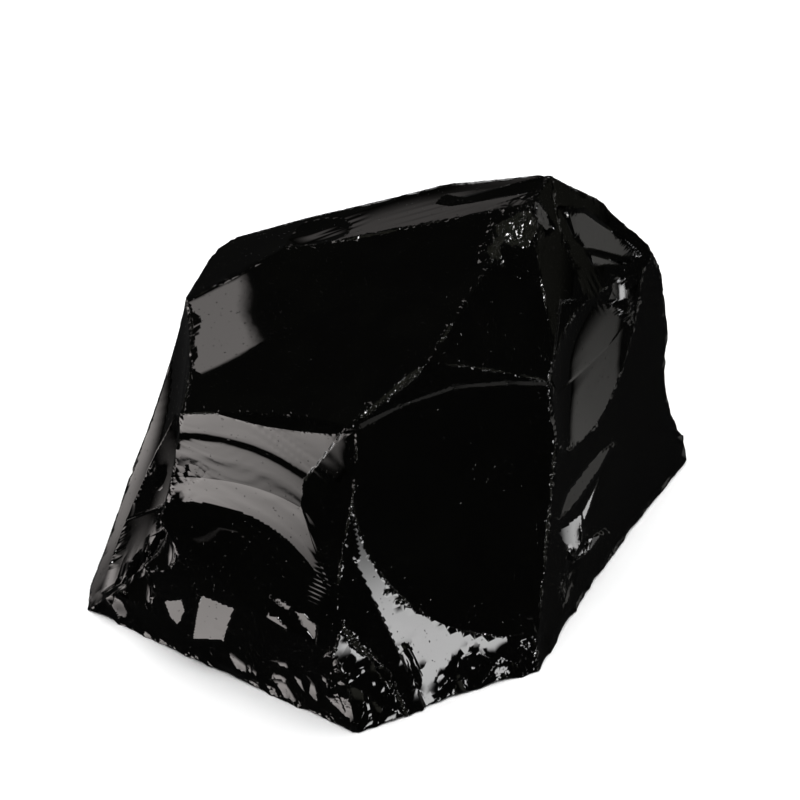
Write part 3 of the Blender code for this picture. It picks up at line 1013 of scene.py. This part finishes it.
middles = numbers[face_edges]
count = (middles >= 0).sum(1)
same, two, three = count == 0, count == 2, count == 3
ridge_faces, ridge_cuts = [faces[same]], [cut_at[faces[same, 0]]]
for turn in range(3):
    chosen = two & (middles[:, (turn + 2) % 3] < 0)
    (a, b, c), (m, n, _) = turned(faces[chosen], middles[chosen], turn)
    ridge_faces += stacked((m, b, n), (a, m, n), (a, n, c))
    ridge_cuts += [cut_at[b], cut_at[a], cut_at[a]]
(a, b, c), (m, n, o) = turned(faces[three], middles[three], 0)
hub = len(directions) + np.arange(three.sum())
hub_directions = unit(directions[m] + directions[n] + directions[o])
directions = np.concatenate([directions, hub_directions])
for corner, before, after in ((a, o, m), (b, m, n), (c, n, o)):
    ridge_faces += stacked((corner, after, hub), (before, corner, hub))
    ridge_cuts += [cut_at[corner]] * 2
faces, face_cuts = np.concatenate(ridge_faces), np.concatenate(ridge_cuts)
print(len(faces), "triangles after the ridges are cut,", len(directions), "points")

# %% [markdown]
# The scars are eaten inward from the finished mesh, along the line to the middle. The underside
# keeps only the coarse ones, because nobody sees it. Where a wave stands a little past the
# solid's box, it is cut back to the box.

# %% Eating the scars into the stone
reach, winner, runner_up, apart = surface(directions)
points = directions * reach[:, None]
fine_depth, coarse_depth = crush_at(points, winner, runner_up, apart)
fine_depth[winner == base_cut] = 0
eaten = scars_at(points, fine_depth, coarse_depth)
points = directions * (reach - eaten)[:, None]
box_low, box_high = np.array(cad_box) / MM - BASE_SHIFT - MIDDLE
points = np.clip(points, box_low, box_high)
wear = np.clip(fine_depth, 0, 1)
print("deepest scar:", round(float(eaten.max()), 2), "mm")

# %% [markdown]
# ## From arrays to a mesh
# The corner normals are worked out from the formula of each break, not averaged from triangles,
# so a reflection glides over a smooth break however the triangles lie, and it snaps at a ridge.

# %% The stone's mesh
INWARD_SHARE = 0.35


def scar_slopes(places, fine_depth, coarse_depth):
    """The slope of the eaten depth, probed a short step away along each axis."""
    here = scars_at(places, fine_depth, coarse_depth)
    return np.stack([scars_at(places + PROBE * axis, fine_depth, coarse_depth) - here
                     for axis in np.eye(3)], 1) / PROBE


def corner_normals(points, faces, face_cuts, fine_depth, coarse_depth):
    """A normal for each corner of each face: that of the break's formula, tipped by the slope of
    the scars a third of the way to the middle of the face, so that scars meet in sharp lines."""
    corners = faces.ravel()
    count = len(cut_names)
    pairs, found = np.unique(corners * count + np.repeat(face_cuts, 3), return_inverse=True)
    normals = normals_of(points[pairs // count], pairs % count)[found]
    hurt = np.flatnonzero(np.maximum(fine_depth, coarse_depth)[corners] > LEAST_SCAR)
    middles = np.repeat(points[faces].mean(1), 3, axis=0)[hurt]
    chosen = corners[hurt]
    places = points[chosen] * (1 - INWARD_SHARE) + middles * INWARD_SHARE
    slope = scar_slopes(places, fine_depth[chosen], coarse_depth[chosen])
    slope -= (slope * normals[hurt]).sum(1, keepdims=True) * normals[hurt]
    normals[hurt] = unit(normals[hurt] + slope)
    return normals


def stone_mesh(name, points, faces, normals):
    """Smooth-shaded triangles with a given normal for each corner."""
    mesh = bpy.data.meshes.new(name)
    places = (points + MIDDLE + BASE_SHIFT) * MM
    mesh.vertices.add(len(places))
    mesh.vertices.foreach_set("co", places.ravel())
    mesh.loops.add(faces.size)
    mesh.loops.foreach_set("vertex_index", faces.ravel())
    mesh.polygons.add(len(faces))
    mesh.polygons.foreach_set("loop_start", np.arange(0, faces.size, 3))
    mesh.polygons.foreach_set("use_smooth", np.ones(len(faces), bool))
    mesh.update(calc_edges=True)
    mesh.normals_split_custom_set(normals.tolist())
    return mesh


normals = corner_normals(points, faces, face_cuts, fine_depth, coarse_depth)
stone_data = stone_mesh("obsidian_stone", points, faces, normals)
stone = bpy.data.objects.new("obsidian_stone", stone_data)
stone.data.attributes.new("crush", "FLOAT", "POINT").data.foreach_set("value", wear)
bpy.context.scene.collection.objects.link(stone)
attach(stone, "root")
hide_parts("obsidian_chunk")
print("mesh is valid as made:", not stone.data.validate(verbose=False))

# %% [markdown]
# ## The finish of volcanic glass
# A finish is mostly masks that are added, multiplied and blended: here it is crushed, there it is
# dusty. Written node by node that is hard to read. So one small class wraps a socket and takes the
# usual signs, and each sign adds its own Math node. A second class is the sheet of nodes that a
# material is written on.

# %% Writing shaders as sums
class Wire:
    """A socket of a node, with the usual signs for sums."""

    def __init__(self, sheet, socket):
        self.sheet, self.socket = sheet, socket

    def other(self, name):
        """Another output of the same node."""
        return Wire(self.sheet, self.socket.node.outputs[name])

    def math(self, operation, first, second=0.0):
        return self.sheet.node("ShaderNodeMath", {"operation": operation}, {0: first, 1: second}, 0)

    def __add__(self, more):
        return self.math("ADD", self, more)

    def __sub__(self, less):
        return self.math("SUBTRACT", self, less)

    def __mul__(self, times):
        return self.math("MULTIPLY", self, times)

    def __radd__(self, more):
        return self.math("ADD", more, self)

    def __rsub__(self, whole):
        return self.math("SUBTRACT", whole, self)

    def __rmul__(self, times):
        return self.math("MULTIPLY", times, self)

    def vector(self, operation, second, key=1):
        """Vector maths with a second value; a dot product gives a number."""
        output = 1 if operation == "DOT_PRODUCT" else 0
        return self.sheet.node("ShaderNodeVectorMath", {"operation": operation},
                               {0: self, key: second}, output)

    def scaled(self, times):
        return self.vector("SCALE", times, "Scale")

    def blend(self, low_colour, high_colour):
        """From one colour where this is 0 to the other where it is 1."""
        return self.sheet.node("ShaderNodeMix", {"data_type": "RGBA"}, {
            0: self, 6: low_colour, 7: high_colour}, 2)

    def ramp(self, low, high):
        """0 below low, 1 above high and smooth between them."""
        return self.sheet.node("ShaderNodeMapRange", {"interpolation_type": "SMOOTHSTEP"},
                               {"Value": self, "From Min": low, "From Max": high}, 0)


class Sheet:
    """A new material's node tree to write on."""

    def __init__(self, name):
        self.material = bpy.data.materials.new(name)
        self.material.use_nodes = True
        self.tree = self.material.node_tree
        self.shader = self.tree.nodes["Principled BSDF"]

    def feed(self, **inputs):
        """Put values or wires into the shader; _ stands for a space in a socket's name."""
        for name, value in inputs.items():
            self.put(self.shader.inputs[name.replace("_", " ")], value)

    def node(self, kind, settings, inputs, output):
        """A new node: its settings first, then its inputs. Gives a wire from one output."""
        made = self.tree.nodes.new(kind)
        for name, value in settings.items():
            setattr(made, name, value)
        for key, value in inputs.items():
            self.put(made.inputs[key], value)
        return Wire(self, made.outputs[output])

    def put(self, socket, value):
        if isinstance(value, Wire):
            self.tree.links.new(value.socket, socket)
        else:
            socket.default_value = value


def noise(sheet, place, size, detail=2.0, roughness=0.5):
    """Cloudy noise whose lumps are about this many millimetres across."""
    return sheet.node("ShaderNodeTexNoise", {}, {
        "Vector": place, "Scale": 1 / size, "Detail": detail, "Roughness": roughness}, "Fac")


def facets(sheet, place, size, tilt):
    """Small flat faces: space is cut into cells, and each cell tips its own way by a random
    vector, so its height is that vector times the place within the cell."""
    cell = sheet.node("ShaderNodeTexVoronoi", {"feature": "F1"}, {
        "Vector": place, "Scale": 1 / size}, "Position")
    lean = cell.other("Color").vector("SUBTRACT", (0.5, 0.5, 0.5))
    return place.vector("SUBTRACT", cell).vector("DOT_PRODUCT", lean) * tilt


print("signs that a wire takes: + - x, also with a plain number first")

# %% [markdown]
# ## Black glass
# Black glass reflects only a few percent of what stands before it, so almost all of its look is
# mirror image. The colour under the mirror is nearly black, with olive clouds where the glass was
# crushed and its thin splinters let light in. Wear shows as a rougher surface along the crushed
# ridges: there tiny flat faces, too small for the mesh, throw back single sparks. The smooth
# breaks keep a few pinhole pits and a faint haze of dust.

# %% Black glass
DEEP_BLACK, OLIVE_BLACK = (0.0006, 0.0006, 0.0005, 1.0), (0.0060, 0.0060, 0.0046, 1.0)
GLASS_IOR = 1.5
POLISH, DUST_HAZE, WEAR = 0.010, 0.012, 0.08
# A slow wander bends the cells of the rubble and the dust out of line: its scale and reach.
WANDER_SCALE, WANDER_REACH = 0.9, 1.6
# Each mask is noise of a size in millimetres, between the values where it starts and is full.
RAGGED_SIZE, RAGGED_SHARE, CRUSH_RANGE = 0.9, 0.9, (1.0, 1.12)
CLOUD_SIZE, CLOUD_SHARE, CLOUD_RANGE = 7.0, 0.06, (0.42, 0.70)
DUST_SIZE, DUST_RANGE = 1.1, (0.58, 0.72)
RUBBLE_SIZE, RUBBLE_TILT = 0.42, 0.5
PIT_SIZE, PIT_DEPTH, PIT_RANGE = 0.42, 0.03, (0.73, 0.80)
GRAIN_SIZE, GRAIN_HEIGHT = 2.4, 0.0003

glass = Sheet("black volcanic glass")
place = glass.node("ShaderNodeTexCoord", {}, {}, "Object").scaled(1 / MM)
crush = glass.node("ShaderNodeAttribute", {"attribute_name": "crush"}, {}, "Fac")
wander = glass.node("ShaderNodeTexNoise", {}, {"Vector": place, "Scale": WANDER_SCALE}, "Color")
bent = place.vector("ADD", wander.scaled(WANDER_REACH))
ragged = crush + noise(glass, place, RAGGED_SIZE, 3.0, 0.6) * RAGGED_SHARE
crushed = ragged.ramp(*CRUSH_RANGE)
clouds = noise(glass, place, CLOUD_SIZE, 4.0).ramp(*CLOUD_RANGE)
dust = noise(glass, bent, DUST_SIZE, 4.0, 0.7).ramp(*DUST_RANGE)
rubble = facets(glass, bent, RUBBLE_SIZE, RUBBLE_TILT)
pits = noise(glass, place, PIT_SIZE, 1.0).ramp(*PIT_RANGE)
grain = noise(glass, place, GRAIN_SIZE, 2.0)
height = rubble * crushed - pits * PIT_DEPTH + grain * GRAIN_HEIGHT
olive = (1 - crushed) * clouds * CLOUD_SHARE + crushed
glass.feed(
    Base_Color=olive.blend(DEEP_BLACK, OLIVE_BLACK),
    Roughness=crushed * WEAR + dust * DUST_HAZE * clouds + POLISH,
    Normal=glass.node("ShaderNodeBump", {}, {"Distance": MM, "Height": height}, "Normal"),
    IOR=GLASS_IOR)
stone.data.materials.append(glass.material)
print("the glass uses", len(glass.tree.nodes), "nodes")

# %% [markdown]
# ## The camera
# The stone is seen from the front and a little above, through a long lens, as in a catalogue
# picture: the far edges stay nearly as large as the near ones. The camera looks straight at the
# point AIM, which the breaks were drawn around.

# %% Camera
LENS, SENSOR = 135.0, 36.0
NEAREST, FARTHEST = 0.01, 10.0
sight = facing(0.0, CAMERA_RISE)
camera_data = bpy.data.cameras.new("camera")
camera_data.lens, camera_data.sensor_width = LENS, SENSOR
camera_data.clip_start, camera_data.clip_end = NEAREST, FARTHEST
camera = bpy.data.objects.new("camera", camera_data)
camera.location = Vector((AIM + BASE_SHIFT + sight * CAMERA_DISTANCE) * MM)
camera.rotation_euler = Euler((math.radians(90 - CAMERA_RISE), 0, 0))
bpy.context.scene.collection.objects.link(camera)
bpy.context.scene.camera = camera
print("camera at", [round(value, 3) for value in camera.location])

# %% [markdown]
# ## The floor
# A sheet of white paper, large enough to fill the picture. The black glass would mirror it as a
# grey veil, so it is hidden from reflections; in a real studio black cloth does that job. A tall
# ring of lit paper closes the view where the floor ends, and only the camera sees it.

# %% Floor and backdrop
FLOOR_SIDE = 4.0
PAPER_WHITE = (0.95, 0.95, 0.95, 1)
floor_mesh = bpy.data.meshes.new("floor")
half = FLOOR_SIDE / 2
floor_mesh.from_pydata([(-half, -half, 0), (half, -half, 0), (half, half, 0), (-half, half, 0)], [],
                       [(0, 1, 2, 3)])
floor = bpy.data.objects.new("floor", floor_mesh)
bpy.context.scene.collection.objects.link(floor)
paper = Sheet("white paper")
paper.feed(Base_Color=PAPER_WHITE, Roughness=1.0, Specular_IOR_Level=0.0)
floor_mesh.materials.append(paper.material)
floor.visible_glossy = False

WALL_RADIUS, WALL_HEIGHT, WALL_SIDES = 1.9, 2.5, 64
side = np.arange(WALL_SIDES)
after = (side + 1) % WALL_SIDES
turns = side * 2 * np.pi / WALL_SIDES
ring = np.stack([WALL_RADIUS * np.cos(turns), WALL_RADIUS * np.sin(turns), 0 * turns], 1)
wall_places = np.concatenate([ring, ring + [0, 0, WALL_HEIGHT]])
wall_mesh = bpy.data.meshes.new("paper wall")
wall_mesh.from_pydata(wall_places.tolist(), [], np.stack(
    [side + WALL_SIDES, after + WALL_SIDES, after, side], 1).tolist())
wall = bpy.data.objects.new("paper wall", wall_mesh)
bpy.context.scene.collection.objects.link(wall)
wall_paper = Sheet("lit paper")
wall_paper.feed(Base_Color=(0, 0, 0, 1), Specular_IOR_Level=0.0,
                Emission_Color=(1, 1, 1, 1), Emission_Strength=1.0)
wall_mesh.materials.append(wall_paper.material)
wall.visible_glossy = wall.visible_diffuse = wall.visible_shadow = False
print("floor", FLOOR_SIDE, "m wide, wall", WALL_HEIGHT, "m high")

# %% [markdown]
# ## Cards for the glass to mirror
# A mirror-black stone shows its form only through what it reflects. Each card stands where one
# break looks: the rosy card feeds the rippled shell, the small plain one the leaf-shaped flat at
# the front, the dim olive ones keep crushed glass from going dead, and the strong high, low and
# top cards give single chips their sparks.

# %% Lamps
# Bearing, rise, distance, width, height and slant of each card, how far its light fades in from
# the sides and from top and bottom, how it leans across and up, its strength and its colour.
WARM, PLAIN, ROSE = (1.0, 0.98, 0.94), (1.0, 1.0, 1.0), (1.0, 0.94, 0.915)
OLIVE = (1.0, 1.0, 0.84)
LAMPS = {
    "left card": (-48, -31, 1200.0, 740.0, 720.0, 0, 40.0, 120.0, 0.4, -0.55, 4.1, ROSE),
    "front card": (51.5, -31, 1200.0, 150.0, 230.0, 0, 15.0, 70.0, 0.0, 0.0, 9.0, PLAIN),
    "upper left card": (-149.3, 43.6, 1200.0, 56.0, 65.0, 0.46, 0.2, 2.0, 0.0, 0.0, 2.0, ROSE),
    "left back card": (-125, -18, 1200.0, 700.0, 460.0, 0, 320.0, 200.0, 0.0, 0.0, 1.8, ROSE),
    "far back card": (-166.3, 15.5, 1200.0, 130.0, 150.0, 0, 50.0, 60.0, 0.0, 0.0, 0.33, ROSE),
    "arc card": (66, 5, 1200.0, 560.0, 180.0, 0, 40.0, 40.0, 0.0, 0.0, 0.35, WARM),
    "panel card": (116, -20, 1200.0, 560.0, 400.0, 0, 60.0, 90.0, 0.0, 0.5, 0.40, WARM),
    "right dim card": (118, -12, 1220.0, 600.0, 560.0, 0, 60.0, 60.0, 0.0, 0.0, 0.05, OLIVE),
    "chip card": (102, -12, 1180.0, 60.0, 90.0, 0, 20.0, 30.0, 0.0, 0.0, 6.0, PLAIN),
    "high card": (8, 18, 1200.0, 360.0, 360.0, 0, 60.0, 60.0, 0.0, 0.0, 42.0, PLAIN),
    "low card": (0, -58, 1200.0, 220.0, 160.0, 0, 30.0, 30.0, 0.0, 0.0, 24.0, PLAIN),
    "low dim card": (5, -45, 1220.0, 1100.0, 700.0, 0, 200.0, 200.0, 0.0, 0.0, 0.25, OLIVE),
    "top card": (40, 52, 1200.0, 640.0, 480.0, 0, 60.0, 60.0, 0.0, 0.0, 48.0, PLAIN),
    "back card": (176, -6, 1200.0, 760.0, 420.0, 0, 260.0, 160.0, 0.0, 0.0, 0.9, PLAIN),
    "left side card": (-110, 32, 1200.0, 300.0, 260.0, 0, 80.0, 80.0, 0.0, 0.0, 1.6, PLAIN),
}
print("cards that stand behind the stone:", [name for name in LAMPS if "back" in name])

# %% [markdown]
# A card could be an area lamp, but lamps are evenly bright. A mesh grid can store a brightness at
# each point, so a card can fade toward its sides, and a round break turns that fade into the soft
# gradients of blown light.

# %% Hanging the cards
SLICES = 24
CARD_AIM = np.array([0, 0, 25.0])


def card(name, bearing, rise, distance, width, height, slant, soft_x, soft_y, lean_x, lean_y,
         strength, colour):
    """A glowing card that faces the stone: a grid whose points hold their own brightness, the
    fades of its four sides times 1 + lean x place, and whose sides slant by slant x height."""
    out = facing(bearing, rise)
    across = unit(np.cross([0.0, 0.0, 1.0], out))
    up = np.cross(out, across)
    ticks = np.linspace(-0.5, 0.5, SLICES + 1)
    v, u = [part.ravel() for part in np.meshgrid(ticks * height, ticks * width, indexing="ij")]
    glow = fade(width / 2 - abs(u), soft_x) * fade(height / 2 - abs(v), soft_y)
    glow = glow * np.maximum(1 + lean_x * u / (width / 2) + lean_y * v / (height / 2), 0)
    places = CARD_AIM + out * distance + np.outer(u + slant * v, across)
    places = (places + np.outer(v, up)) * MM
    row, column = [part.ravel() for part in np.mgrid[0:SLICES, 0:SLICES]]
    corner = row * (SLICES + 1) + column
    quads = np.stack([corner, corner + 1, corner + SLICES + 2, corner + SLICES + 1], 1)
    mesh = bpy.data.meshes.new(name)
    mesh.from_pydata(places.tolist(), [], quads.tolist())
    mesh.attributes.new("glow", "FLOAT", "POINT").data.foreach_set("value", glow)
    paint = Sheet(name)
    shine = paint.node("ShaderNodeAttribute", {"attribute_name": "glow"}, {}, "Fac")
    tint = paint.node("ShaderNodeVectorMath", {"operation": "SCALE"},
                      {0: colour, "Scale": shine}, 0)
    paint.feed(Base_Color=(0, 0, 0, 1), Specular_IOR_Level=0.0, Emission_Color=tint,
               Emission_Strength=strength)
    mesh.materials.append(paint.material)
    made = bpy.data.objects.new(name, mesh)
    made.visible_camera = made.visible_diffuse = made.visible_shadow = False
    bpy.context.scene.collection.objects.link(made)


for name, settings in LAMPS.items():
    card(name, *settings)
print(len(LAMPS), "cards")

# %% [markdown]
# ## Room light
# One wide lamp overhead whitens the paper and gives the soft shadow under the stone. It is hidden
# from reflections for the same reason as the floor. The room itself is almost dark.

# %% Room light
WORLD_LIGHT = 0.015
# Bearing, rise and distance of the lamp, the length of its sides and its strength.
OVERHEAD = (0, 89, 2.0, 3.0, 3.6)


def room_lamp(name, bearing, rise, distance, side, strength):
    """A square lamp that faces the stone; its power is strength x area x pi."""
    data = bpy.data.lights.new(name, "AREA")
    data.size = side
    data.energy = strength * side * side * math.pi
    lamp = bpy.data.objects.new(name, data)
    direction = Vector(facing(bearing, rise))
    lamp.location = direction * distance
    lamp.rotation_euler = direction.to_track_quat("Z", "Y").to_euler()
    lamp.visible_camera = lamp.visible_glossy = False
    bpy.context.scene.collection.objects.link(lamp)


room_lamp("overhead lamp", *OVERHEAD)

world = bpy.data.worlds.new("studio")
bpy.context.scene.world = world
world.use_nodes = True
background = world.node_tree.nodes["Background"]
background.inputs["Color"].default_value = (1, 1, 1, 1)
background.inputs["Strength"].default_value = WORLD_LIGHT
bpy.context.scene.view_settings.view_transform = "Standard"
print("room light", WORLD_LIGHT, "and one lamp", OVERHEAD[3], "m wide")
